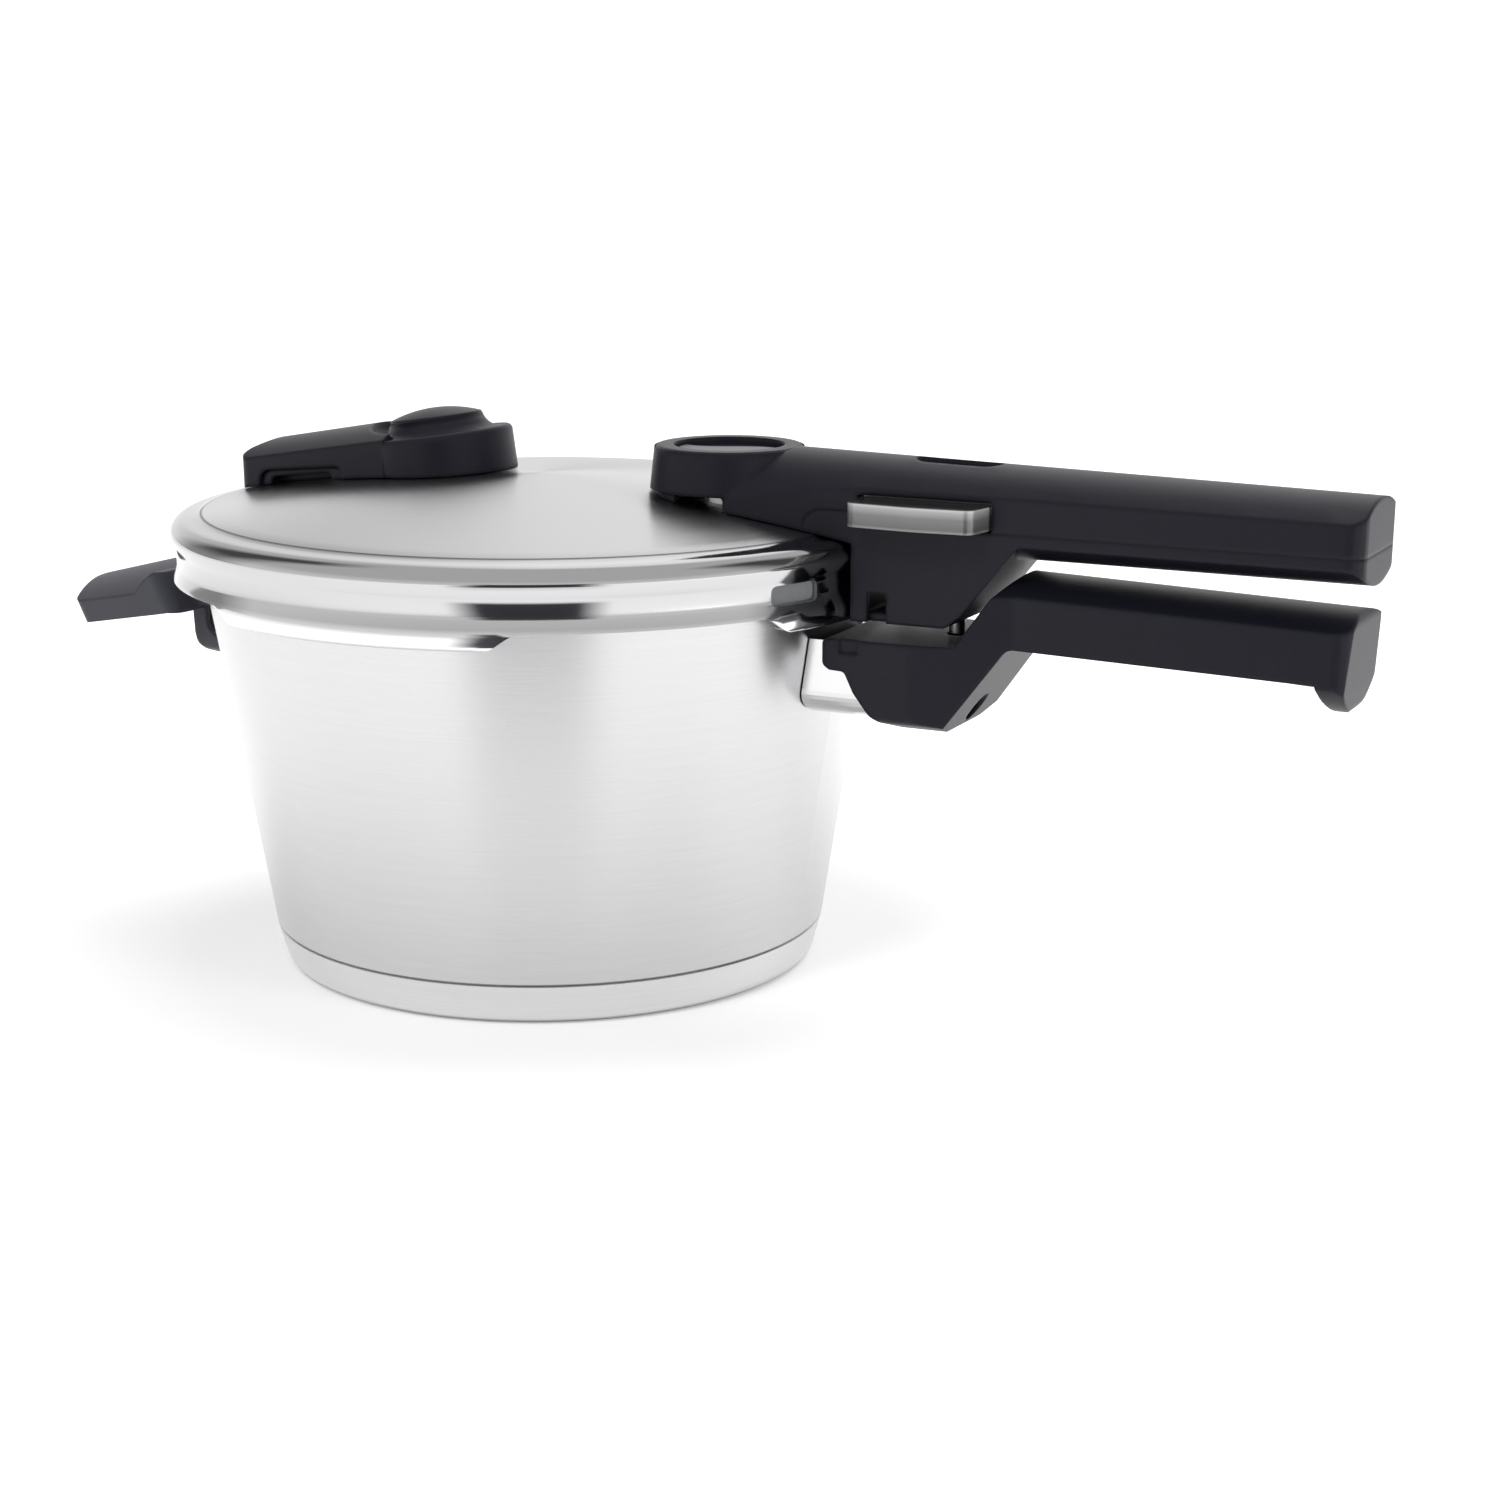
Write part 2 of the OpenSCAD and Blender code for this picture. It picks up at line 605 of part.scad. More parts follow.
// Path of the lid's outside from the apex down to the skirt's hook
function lid_path() = let (low = skirt_z, dip = skirt_r - band_depth + 0.5, ring = dome_edge_r - 6) concat(
  [for (i = [0 : 18]) let (r = ring * i / 18) [r, dome_z(r)]],
  [[ring + 0.5, dome_z(ring) - 0.34], [ring + 2.5, dome_z(ring + 2.5) - 0.36],
    [ring + 4.6, dome_z(ring + 4.6) - 0.2]],
  arc([lid_r - collar_r, edge_z - 2.9], collar_r, 78, 0, 8),
  [[dip + 0.3, edge_z - 6.4], [dip, edge_z - 8], [dip, edge_z - 11.4], [dip + 0.15, edge_z - 12.9],
   [skirt_r - 0.35, edge_z - 15.6], [skirt_r, edge_z - 17.2]],
  arc([skirt_r - 1.5, low + 1.5], 1.5, 0, -90, 4),
  [[skirt_r + 0.6 - lid_t - hook_w, low]]);

// Cuts one shallow stretch of skirt, with an S-shaped flank at each end
module skirt_cut() {
  step = shallow_z - skirt_z;
  flank = 6;
  shift = flank / skirt_r * 180 / PI;
  gap = lug_pitch - 2 * skirt_half - 2 * shift;
  rise = concat([[flank + 0.1, -2], [flank + 0.1, step]],
    [for (i = [0 : 12]) [flank * (1 - i / 6), step * (1 + cos(15 * i)) / 2]], [[-flank, -2]]);
  rotate([0, 0, skirt_half + shift]) rotate_extrude(angle = gap, $fn = round_fn)
    translate([skirt_r - 12, skirt_z - 2]) square([20, step + 2]);
  rotate([0, 0, skirt_half + shift]) translate([skirt_r - 12, -flank, skirt_z])
    rotate([90, 0, 90]) linear_extrude(20) polygon(rise);
  rotate([0, 0, lug_pitch - skirt_half - shift]) translate([skirt_r - 12, flank, skirt_z])
    rotate([90, 0, 90]) linear_extrude(20) mirror([1, 0]) polygon(rise);
}

// Pads pressed flat in the dome for clamped hardware, each at [x, radius, hole radius]
LID_PADS = [[head_x, bolt_seat_r, bolt_r + fit_gap], [-valve_x, valve_seat_r, valve_r + fit_gap],
            [float_x, float_seat_r, float_r + fit_gap]];

module lid_shell() {
  color(STEEL) difference() {
    union() {
      rotate_extrude($fn = round_fn) polygon(sheet(lid_path(), lid_t));
      for (pad = LID_PADS) let (far = abs(pad[0]))
        translate([pad[0], 0, pad_low(far, pad[1])])
          cylinder(h = pad_top(far, pad[1]) - pad_low(far, pad[1]), r = pad[1], $fn = round_fn);
    }
    for (i = [0 : lug_count - 1]) rotate([0, 0, i * lug_pitch]) skirt_cut();
    for (pad = LID_PADS) let (far = abs(pad[0]))
      translate([pad[0], 0, pad_low(far, pad[1]) - 1])
        cylinder(h = lid_t + 8, r = pad[2], $fn = round_fn);
    rotate([0, 0, window_angle]) translate([skirt_r - 8, -window_w / 2, edge_z - 13.6])
      rotate([90, 0, 90]) linear_extrude(20)
        polygon(outline([[0, 0, 2], [window_w, 0, 2], [window_w, 6.2, 2], [0, 6.2, 2]]));
  }
}

module sealing_ring() {
  out = skirt_r - band_depth - lid_t + 0.5 - run_gap;
  low = rim_z + run_gap;
  ring = outline([[out - 11, low, 0.8], [out, low, 1], [out, low + 10, 1.5], [out - 9, low + 10, 1],
    [out - 9.5, low + 7.6, 0.6], [out - 3.5, low + 7, 1], [out - 3.5, low + 3.2, 1],
    [out - 11, low + 2, 0.6]]);
  color(RUBBER) rotate_extrude($fn = round_fn) polygon(ring);
}

// ---- Lid handle ----

// Height of the handle's crown at a distance from the axis
function grip_top(x) = crown_z + 0.5
  - (x - head_x + 10) / (grip_end - head_x + 20) * (crown_z + 0.5 - crown_end_z);

module grip_crown(inside = 0) {
  crown(head_x - 10, crown_z + 0.5, shoulder_z + 0.2,
    grip_end + 10, crown_end_z, shoulder_end_z, grip_half, inside);
}

function grip_plan() = outline([[head_x, -head_r, 0], [lid_r, -grip_half, 60], [grip_end, -grip_half, 5],
  [grip_end, grip_half, 5], [lid_r, grip_half, 60], [head_x, head_r, 0]]);

// The lower moulding's side view: grip above, bracket that drops in front of the lid's edge
function base_side() = [
  [lid_r - 17, edge_z - 10, 0], [bracket_face - 3, edge_z - 10, 0], [bracket_face - 3, bracket_low, 0],
  [lid_r + 29.5, bracket_low, 1.5], [lid_r + 34.5, bracket_low + 4, 2], [lid_r + 52.3, grip_low, 5],
  [grip_end, grip_low, 0], [grip_end, part_z, 0],
  [lid_r + 2, part_z, 0], [lid_r + 2, part_z + 3.5, 0], [lid_r - 17, part_z + 3.5, 6]];

// Rounded underside of the grip
module grip_belly(inside = 0) {
  low = edge_z - 1.6;
  intersection() {
    side_prism([[lid_r + 47.4 + inside, low], [grip_end - inside, low], [grip_end - inside, grip_low + 1],
      [lid_r + 53.2 + inside, grip_low + 1]], grip_half - inside);
    belly(lid_r + 30, low + inside, grip_end + 20, low + inside, 34 - inside);
  }
}

module lid_handle_base() {
  color(BLACK) difference() {
    intersection() {
      union() {
        side_prism(outline(base_side()), head_r);
        grip_belly();
      }
      plan_prism(grip_plan(), 0, 300);
    }
    base_cavity();
    lid_room();
    base_holes();
  }
}

// Everything that the lower moulding leaves open inside
module base_cavity() {
  half = grip_half - shell_t;
  deep = bracket_low + shell_t;
  difference() {
    union() {
      side_prism([[lid_r + 3, deep], [lid_r + 28, deep], [lid_r + 31.5, deep + 3.5],
        [lid_r + 50.5, grip_low + 0.9], [grip_end - shell_t, grip_low + 0.9],
        [grip_end - shell_t, part_z + 10], [lid_r + 3, part_z + 10]], half);
      grip_belly(shell_t);
    }
    translate([lock_x, 0, bracket_low]) cylinder(h = 16, r = lock_r + 3, $fn = round_fn);
    for (x = handle_screw_x)
      translate([x, 0, 0]) cylinder(h = part_z, r = 5, $fn = round_fn);
  }
  translate([button_x0 - 4, -half, part_z]) cube([8, half + button_back + button_travel + 1, 10]);
}

// The room for the closed lid under its handle
module lid_room() {
  dome_space(run_gap);
  cylinder(h = edge_z + 1, r = bracket_face, $fn = round_fn);
}

module base_holes() {
  translate([lock_x, 0, bracket_low - 1]) cylinder(h = 30, r = lock_r + bore_gap, $fn = round_fn);
  for (x = handle_screw_x) {
    translate([x, 0, 0]) cylinder(h = 300, r = 1.7, $fn = round_fn);
    translate([x, 0, 0]) cylinder(h = part_z - 4, r = 3.2, $fn = round_fn);
  }
  for (side = [-1, 1])
    translate([lid_r + 4, side * grip_half - 3, bracket_low - 1]) cube([6.6, 6, 10]);
  translate([button_x0 - 1.4, -grip_half - 1, part_z]) cube([button_len + 2.4, shell_t + 2, 10]);
}

module lid_handle_top() {
  color(BLACK) difference() {
    union() {
      intersection() {
        grip_crown();
        plan_prism(grip_plan(), 0, 300);
        side_prism(outline([[head_x, head_under, 0], [head_x + 9, head_under, 1.5],
          [head_x + 9, edge_z - 5, 0],
          [lid_r - 10, edge_z - 5, 0], [lid_r - 10, part_z, 0], [grip_end, part_z, 0],
          [grip_end, part_z + 30, 0], [head_x, part_z + 30, 0]]), head_r);
      }
      translate([head_x, 0, head_under])
        cylinder(h = head_top - head_under, r1 = head_r + 1.5, r2 = head_r, $fn = round_fn);
    }
    head_cuts();
    top_cavity();
    side_prism(outline(base_side()), head_r + 1);
    lid_room();
    translate([button_x0 - 1.4, -grip_half - 1, part_z - 1])
      cube([button_len + 2.4, shell_t + 2, button_h + 1 + slot_gap + 0.6]);
    window_seat();
    pad_space(head_x, bolt_seat_r, fit_gap);
    pad_space(float_x, float_seat_r, 6);
  }
}

// The head's ring is cut flat and broken at its edge; its recess and the insert's bore open in it
module head_cuts() {
  translate([head_x, 0, head_top]) cylinder(h = 20, r = head_r, $fn = round_fn);
  translate([head_x, 0, head_top - 1.2]) difference() {
    cylinder(h = 2, r = head_r + 0.05, $fn = round_fn);
    translate([0, 0, -0.01]) cylinder(h = 2.1, r1 = head_r + 0.2, r2 = head_r - 2, $fn = round_fn);
  }
  translate([head_x, 0, head_top - 3.6]) cylinder(h = 20, r = head_r - 6, $fn = round_fn);
  translate([head_x, 0, edge_z]) cylinder(h = head_top - 8 - edge_z, r = 7 + bore_gap, $fn = round_fn);
}

module top_cavity() {
  half = grip_half - shell_t;
  difference() {
    intersection() {
      union() {
        grip_crown(shell_t);
        translate([head_x, -half, 0]) cube([grip_len + 90, 2 * half, part_z + 4]);
      }
      translate([head_x + head_r + 1, -half, 0]) cube([lid_r + grip_len - head_x - head_r - 4, 2 * half, 300]);
    }
    for (x = handle_screw_x)
      translate([x, 0, part_z]) cylinder(h = 40, r = 4, $fn = round_fn);
    translate([window_x, 0, grip_top(window_x) - 4.4]) linear_extrude(20)
      polygon(oval(window_l + 2.4, window_half + 1.2));
  }
  for (x = handle_screw_x)
    translate([x, 0, part_z - 1]) cylinder(h = 9, r = 1.5 + bore_gap, $fn = round_fn);
}

// The window: an oval lens in the crown over the lock's flag
function oval(l, h) = outline([[-l / 2, -h, h - 0.01], [l / 2, -h, h - 0.01],
  [l / 2, h, h - 0.01], [-l / 2, h, h - 0.01]], 6);

module window_seat() {
  translate([window_x, 0, grip_top(window_x) - 3.2]) linear_extrude(20) polygon(oval(window_l, window_half));
  translate([window_x, 0, grip_top(window_x) - 6]) linear_extrude(10)
    polygon(oval(window_l - 3, window_half - 1.5));
}

module window() {
  color([0.25, 0.3, 0.3, 0.5]) translate([window_x, 0, grip_top(window_x) - 3.2])
    linear_extrude(1.2) polygon(oval(window_l - 2 * fit_gap, window_half - fit_gap));
}

module head_spacer() {
  low = [for (i = [0 : 4]) let (r = head_x - head_r - 1 + i * 6) [r, dome_z(r) + fit_gap]];
  color(BLACK) intersection() {
    rotate_extrude($fn = round_fn) polygon(concat(low, [[low[4][0], head_under], [low[0][0], head_under]]));
    difference() {
      translate([head_x, 0, edge_z]) cylinder(h = 20, r = head_r, $fn = round_fn);
      translate([head_x - 8, -40, 0]) cube([60, 80, 300]);
      pad_space(head_x, bolt_seat_r, fit_gap);
    }
  }
}

// The cap in the head's recess, with a raised field that ends in a wave
module head_cap() {
  r = head_r - 6 - fit_gap;
  wave = [for (i = [0 : 16]) let (x = -r + 2 * r * i / 16) [x, 3 + 3.2 * sin(x * 9)]];
  color(BLACK) translate([head_x, 0, head_top - 3.6]) union() {
    cylinder(h = 1.2, r = r, $fn = round_fn);
    intersection() {
      cylinder(h = 2.4, r = r - 1.5, $fn = round_fn);
      linear_extrude(3) polygon(concat([[-r, -r], [r, -r]], [for (i = [16 : -1 : 0]) wave[i]]));
    }
  }
}

module handle_insert() {
  low = pad_top(head_x, bolt_seat_r);
  color(BRASS) translate([head_x, 0, low]) difference() {
    cylinder(h = head_top - 8 - low, r = 7, $fn = round_fn);
    translate([0, 0, -1]) cylinder(h = head_top - 10 - low + 1, r = bolt_r + bore_gap, $fn = round_fn);
  }
}

module handle_bolt() {
  low = pad_low(head_x, bolt_seat_r);
  color(STEEL) translate([head_x, 0, low]) union() {
    cylinder(h = head_top - 11 - low, r = bolt_r, $fn = round_fn);
    translate([0, 0, -3]) cylinder(h = 3, r1 = 8, r2 = 9, $fn = round_fn);
  }
}

module handle_screws() {
  for (x = handle_screw_x) color(STEEL) difference() {
    union() {
      translate([x, 0, part_z - 4]) cylinder(h = 11.5, r = 1.5, $fn = round_fn);
      translate([x, 0, part_z - 6]) cylinder(h = 2, r = 3, $fn = round_fn);
    }
    translate([x - 2.2, -0.4, part_z - 6.5]) cube([4.4, 0.8, 1.5]);
    translate([x - 0.4, -2.2, part_z - 6.5]) cube([0.8, 4.4, 1.5]);
  }
}

// ---- Button and lock ----

function ramp_z(y) = ramp_top - (y - button_back - 1) * lock_lift / button_travel;

module operating_button() {
  plan = outline([[button_x0 - 1.5, button_front + 1.6, 3], [(button_x0 + button_x1) / 2, button_front, 60],
    [button_x1 - 1.5, button_front + 1.6, 3], [button_x1, -grip_half, 2], [button_x1, button_back, 1],
    [button_x0, button_back, 1], [button_x0, -grip_half, 2]]);
  inner = -(grip_half - shell_t) + flange_gap;
  color([0.45, 0.45, 0.44]) difference() {
    union() {
      plan_prism(plan, button_z0, button_z0 + button_h);
      translate([button_x0 - 3, inner, button_z0]) cube([button_len + 6, 2, button_h + 1.5]);
      for (x = [lock_x - 9, lock_x + 5])
        translate([x, 0, 0]) rotate([90, 0, 90]) linear_extrude(4)
          polygon([[button_back - 1, button_z0], [2.4, button_z0], [2.4, ramp_z(2.4)],
                   [button_back + 1, ramp_top - 0.01],
                   [button_back - 1, ramp_top - 0.01]]);
    }
    translate([spring_x, button_back + 1, button_z0 + button_h / 2]) rotate([90, 0, 0])
      cylinder(h = 5, r = 2.8, $fn = round_fn);
  }
}

module button_spring() {
  reach = grip_half - shell_t - button_back + 4 - 2 * run_gap;
  color(STEEL) translate([spring_x, button_back - 4 + run_gap, button_z0 + button_h / 2])
    rotate([-90, 0, 0]) coil(2.1, 0.7, reach, 8);
}

module lock_pin() {
  bar = ramp_z(-2) + fit_gap;
  bar_top = ramp_top + 0.2;
  color(STEEL) union() {
    translate([lock_x, 0, pot_handle_top + 0.6])
      cylinder(h = bar + 1 - pot_handle_top - 0.6, r = lock_r, $fn = round_fn);
    translate([lock_x - 9, -2, bar]) cube([lock_spring_x - lock_x + 12.5, 4, bar_top - bar]);
    for (x = [lock_x - 9, lock_x + 5])
      translate([x, 0, 0]) rotate([90, 0, 90]) linear_extrude(4)
        polygon([[-2, ramp_z(-2) + fit_gap], [2, ramp_z(2) + fit_gap], [2, bar_top], [-2, bar_top]]);
  }
}

module lock_flag() {
  color([0.15, 0.55, 0.25]) translate([lock_x - 7, -3.5, ramp_top + 0.2]) cube([14, 7, 1.6]);
}

module lock_spring() {
  low = ramp_top + 0.2;
  color(STEEL) translate([lock_spring_x, 0, low])
    coil(1.7, 0.6, grip_top(lock_spring_x) - shell_t - run_gap - low, 5);
}

// ---- Valve and cooking indicator ----

function housing_side(inside) = inset([[-housing_end, edge_z - 6, 0],
  [-valve_x + housing_r + 9, edge_z - 6, 0], [-valve_x + housing_r + 9, dome_top + 24, 0],
  [-valve_x, dome_top + 24, 0],
  [-housing_end + 11, dome_top + 8.8, 9], [-housing_end, dome_top + 2.6, 3]], inside);

// The housing's round end: a leaning wall, a rounded shoulder and a hollow slope up to the cap
function head_profile(inside) = concat([[0, -40], [housing_r - inside, -40]],
  arc([housing_r - 2 - inside, -7.1 - inside], 2, 0, 72, 4),
  arc([cap_r + 6.4, 0.6 - inside], 6.2, inside > 0 ? 250 : 272, 200, 6),
  [[cap_r + 0.3, -0.5 - inside], [cap_r - 0.4, -inside], [0, -inside]]);

// Turns its children about the valve, from upright to the lean of the round end
module leaning() {
  translate([-valve_x, 0, rim_plane_z]) rotate([0, -lean, 0]) children();
}

// Outside of the housing, or the room inside its wall
module housing_form(inside) {
  plan = outline([[-housing_end + inside, -tail_half + inside, 4 - inside / 2],
    [-valve_x - 6, -housing_r + 1.2 + inside, 0], [-valve_x - 6, housing_r - 1.2 - inside, 0],
    [-housing_end + inside, tail_half - inside, 4 - inside / 2]]);
  intersection() {
    side_prism(outline(housing_side(inside)), 40);
    union() {
      leaning() rotate_extrude($fn = round_fn) polygon(head_profile(inside));
      intersection() {
        plan_prism(plan, 0, 300);
        mirror([1, 0, 0]) crown(valve_x - 10, dome_top + 20.1, dome_top + 16.4, housing_end + 14,
          dome_top + 3.6, dome_top - 4.4, 20, inside);
        difference() {
          translate([-200, -50, 0]) cube([300, 100, 300]);
          leaning() rotate_extrude($fn = round_fn) polygon(bowl(inside));
        }
      }
    }
  }
}

// The room over the hollow round the cap, which ends the tail's crown in a curve
function bowl(inside) = [for (p = [[0, -5], [cap_r + 2, -5], [cap_r + 4.5, -4.2], [cap_r + 6.2, -2.4],
  [cap_r + 7.2, 0.2], [cap_r + 8, 4], [cap_r + 9, 12], [cap_r + 9, 30], [0, 30]]) [p[0], p[1] - inside]];

module valve_housing() {
  well_r = cap_r + run_gap;
  color(BLACK) difference() {
    housing_form(0);
    difference() {
      housing_form(shell_t);
      translate([-valve_x, 0, cap_floor_z - shell_t]) cylinder(h = 30, r = well_r + shell_t, $fn = round_fn);
    }
    translate([-valve_x, 0, cap_floor_z]) cylinder(h = 30, r = well_r, $fn = round_fn);
    translate([-valve_x, 0, 0]) cylinder(h = 300, r = post_r + fit_gap, $fn = round_fn);
    translate([-valve_x, 0, cap_floor_z - 1.2]) cylinder(h = 20, r = valve_r + fit_gap, $fn = round_fn);
    outlet_cut();
    dome_space(run_gap);
  }
}

// The steam outlet's frame and its mouth, seen along the housing's side wall
function wall_dome(x) = dome_z(norm([housing_end - x * cos(wall_turn), tail_half + x * sin(wall_turn)]));
function outlet_side(gap, foot) = let (x0 = outlet_in + gap, x1 = outlet_in + outlet_l - gap) outline([
  [x0, wall_dome(x0) + foot, 0], [x1, wall_dome(x1) + foot, 0],
  [x1, wall_dome(x1) + 4.4 - gap, 2.4], [x0, wall_dome(x0) + 5.6 - gap, 4.6]]);
function outlet_mouth() = let (x0 = outlet_in + 4, x1 = outlet_in + outlet_l - 5.2) outline([
  [x0, wall_dome(x0) - 6, 0], [x1, wall_dome(x1) - 6, 0],
  [x1, wall_dome(x1) + 2.7, 2], [x0, wall_dome(x0) + 3, 2.4]]);

// Moves its children from the origin to the near end of the housing's side wall
module along_wall() {
  translate([-housing_end, -tail_half, 0]) rotate([0, 0, -wall_turn]) children();
}

module outlet_cut() {
  along_wall() side_prism(outlet_side(0, -6), 8);
}

module steam_outlet() {
  color(BLACK) difference() {
    along_wall() difference() {
      translate([0, 4.35, 0]) side_prism(outlet_side(fit_gap, -2), 3);
      side_prism(outlet_mouth(), 6);
    }
    dome_space(run_gap);
  }
}

module valve_body() {
  seat = pad_top(valve_x, valve_seat_r);
  bore = stem_r + bore_gap;
  color(BRASS) translate([-valve_x, 0, 0]) rotate_extrude($fn = round_fn) polygon([
    [bore, valve_low], [valve_r, valve_low], [valve_r, seat], [11, seat], [11, seat + 2.2],
    [valve_r, seat + 2.2],
    [valve_r, cap_floor_z - shell_t], [post_r, cap_floor_z - shell_t], [post_r, cap_floor_z - 1.2],
    [valve_r, cap_floor_z - 1.2], [valve_r, cap_floor_z - 0.1], [bore, cap_floor_z - 0.1]]);
}

module valve_seal() {
  high = pad_low(valve_x, valve_seat_r);
  color(RUBBER) translate([-valve_x, 0, high - 1.5]) difference() {
    cylinder(h = 1.5, r = 11, $fn = round_fn);
    translate([0, 0, -1]) cylinder(h = 5, r = valve_r + fit_gap, $fn = round_fn);
  }
}

module valve_nut() {
  high = pad_low(valve_x, valve_seat_r) - 1.5;
  color(STEEL) translate([-valve_x, 0, high - 5]) difference() {
    cylinder(h = 5, r = 11, $fn = 6);
    translate([0, 0, -1]) cylinder(h = 10, r = valve_r + bore_gap, $fn = round_fn);
  }
}

module indicator_stem() {
  color(STEEL) translate([-valve_x, 0, 0]) union() {
    translate([0, 0, stem_low]) cylinder(h = cap_edge_z + 3 - stem_low, r = stem_r, $fn = round_fn);
    translate([0, 0, stem_low]) cylinder(h = 1.8, r = 6, $fn = round_fn);
  }
}

module indicator_cap() {
  ball = (cap_r * cap_r + cap_dome * cap_dome) / (2 * cap_dome);
  color(BLACK) difference() {
    intersection() {
      translate([-valve_x, 0, cap_edge_z]) cylinder(h = 20, r = cap_r, $fn = round_fn);
      leaning() translate([0, 0, cap_dome + 0.1 - ball]) sphere(r = ball, $fn = round_fn);
    }
    translate([-valve_x, 0, 0]) {
      translate([0, 0, cap_edge_z - 1]) difference() {
        cylinder(h = 5, r = cap_r - 2.4, $fn = round_fn);
        cylinder(h = 8, r = stem_r + 3, $fn = round_fn);
      }
      translate([0, 0, cap_edge_z - 1]) cylinder(h = 4, r = stem_r + bore_gap, $fn = round_fn);
      translate([0, 0, cap_edge_z + band_up]) difference() {
        cylinder(h = 1.6, r = cap_r + 1, $fn = round_fn);
        translate([0, 0, -1]) cylinder(h = 6, r = cap_r - 0.9, $fn = round_fn);
      }
    }
  }
}

module indicator_band() {
  color([0.75, 0.2, 0.15]) translate([-valve_x, 0, cap_edge_z + band_up]) difference() {
    cylinder(h = 1.6, r = cap_r, $fn = round_fn);
    translate([0, 0, -1]) cylinder(h = 6, r = cap_r - 0.9 + bore_gap, $fn = round_fn);
  }
}

module valve_spring() {
  low = stem_low + 1.8;
  color(STEEL) translate([-valve_x, 0, low]) coil(4.6, 0.8, valve_low - low, 5);
}

module float_bush() {
  high = pad_top(float_x, float_seat_r);
  low = pad_low(float_x, float_seat_r) - 3;
  color(STEEL) translate([float_x, 0, 0]) difference() {
    union() {
      translate([0, 0, low]) cylinder(h = high - low + 0.5, r = float_r, $fn = round_fn);
      translate([0, 0, high]) cylinder(h = 1, r = 6, $fn = round_fn);
    }
    translate([0, 0, low - 1]) cylinder(h = 30, r = 1.6 + bore_gap, $fn = round_fn);
  }
}

module float_pin() {
  high = pad_top(float_x, float_seat_r) + 1;
  low = pad_low(float_x, float_seat_r) - 3;
  color(STEEL) translate([float_x, 0, 0]) union() {
    translate([0, 0, low - 4]) cylinder(h = high - low + 5, r = 1.6, $fn = round_fn);
    translate([0, 0, high]) cylinder(h = 1.6, r = 3.4, $fn = round_fn);
    translate([0, 0, low - 5.5]) cylinder(h = 1.6, r = 3.4, $fn = round_fn);
  }
}

module float_seal() {
  high = pad_low(float_x, float_seat_r);
  color(RUBBER) translate([float_x, 0, high - 1.6]) difference() {
    cylinder(h = 1.6, r = 6, $fn = round_fn);
    translate([0, 0, -1]) cylinder(h = 5, r = float_r + fit_gap, $fn = round_fn);
  }
}

pot_body();
base_core();
base_capsule();
pot_handle();
handle_bracket();
flame_guard();
pot_handle_screw();
helper_handle();
helper_guard();
helper_bracket();
helper_screw();
lid_shell();
sealing_ring();
lid_handle_top();
lid_handle_base();
head_spacer();
head_cap();
handle_insert();
handle_bolt();
handle_screws();
window();
operating_button();
button_spring();
lock_pin();
lock_flag();
lock_spring();
valve_housing();
steam_outlet();
valve_body();
valve_seal();
valve_nut();
indicator_stem();
indicator_cap();
indicator_band();
valve_spring();
float_bush();
float_pin();
float_seal();
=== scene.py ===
import bpy
from math import cos, radians, sin
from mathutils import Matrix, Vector


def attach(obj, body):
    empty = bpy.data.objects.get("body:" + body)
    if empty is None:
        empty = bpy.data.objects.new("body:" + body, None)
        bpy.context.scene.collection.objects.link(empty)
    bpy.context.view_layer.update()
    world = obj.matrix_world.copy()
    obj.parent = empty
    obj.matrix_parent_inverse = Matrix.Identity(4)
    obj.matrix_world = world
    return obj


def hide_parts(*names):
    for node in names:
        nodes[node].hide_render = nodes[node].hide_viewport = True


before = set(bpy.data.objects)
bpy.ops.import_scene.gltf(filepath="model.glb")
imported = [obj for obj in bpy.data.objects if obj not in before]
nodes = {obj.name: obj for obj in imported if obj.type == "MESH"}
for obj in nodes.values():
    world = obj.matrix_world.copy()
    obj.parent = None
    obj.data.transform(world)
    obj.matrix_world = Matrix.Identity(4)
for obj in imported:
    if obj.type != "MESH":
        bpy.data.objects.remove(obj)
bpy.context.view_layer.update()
bpy.ops.object.select_all(action="DESELECT")

# Pot shell. It is deep drawn from 18/10 stainless sheet, its tapered wall is brushed round and round,
# and the rim is turned out and pressed into four bayonet lugs. A fine dark seam shows where the wall meets
# the base capsule, and the wall carries no mark.


class Line:
    """A value in a finish's node tree, on which sums are written as sums."""

    def __init__(self, finish, socket):
        self.finish = finish
        self.socket = socket

    def sum(self, operation, *values):
        return self.finish.add("ShaderNodeMath", {"operation": operation}, dict(enumerate(values)))

    def __add__(self, other):
        return self.sum("ADD", self, other)

    def __radd__(self, other):
        return self.sum("ADD", other, self)

    def __sub__(self, other):
        return self.sum("SUBTRACT", self, other)

    def __rsub__(self, other):
        return self.sum("SUBTRACT", other, self)

    def __mul__(self, other):
        return self.sum("MULTIPLY", self, other)

    def __rmul__(self, other):
        return self.sum("MULTIPLY", other, self)

    def __truediv__(self, other):
        return self.sum("DIVIDE", self, other)

    def __abs__(self):
        return self.sum("ABSOLUTE", self)

    def root(self):
        return self.sum("SQRT", self)

    def clamp(self):
        """The value kept from 0 to 1."""
        return self.finish.add("ShaderNodeClamp", {}, {0: self})


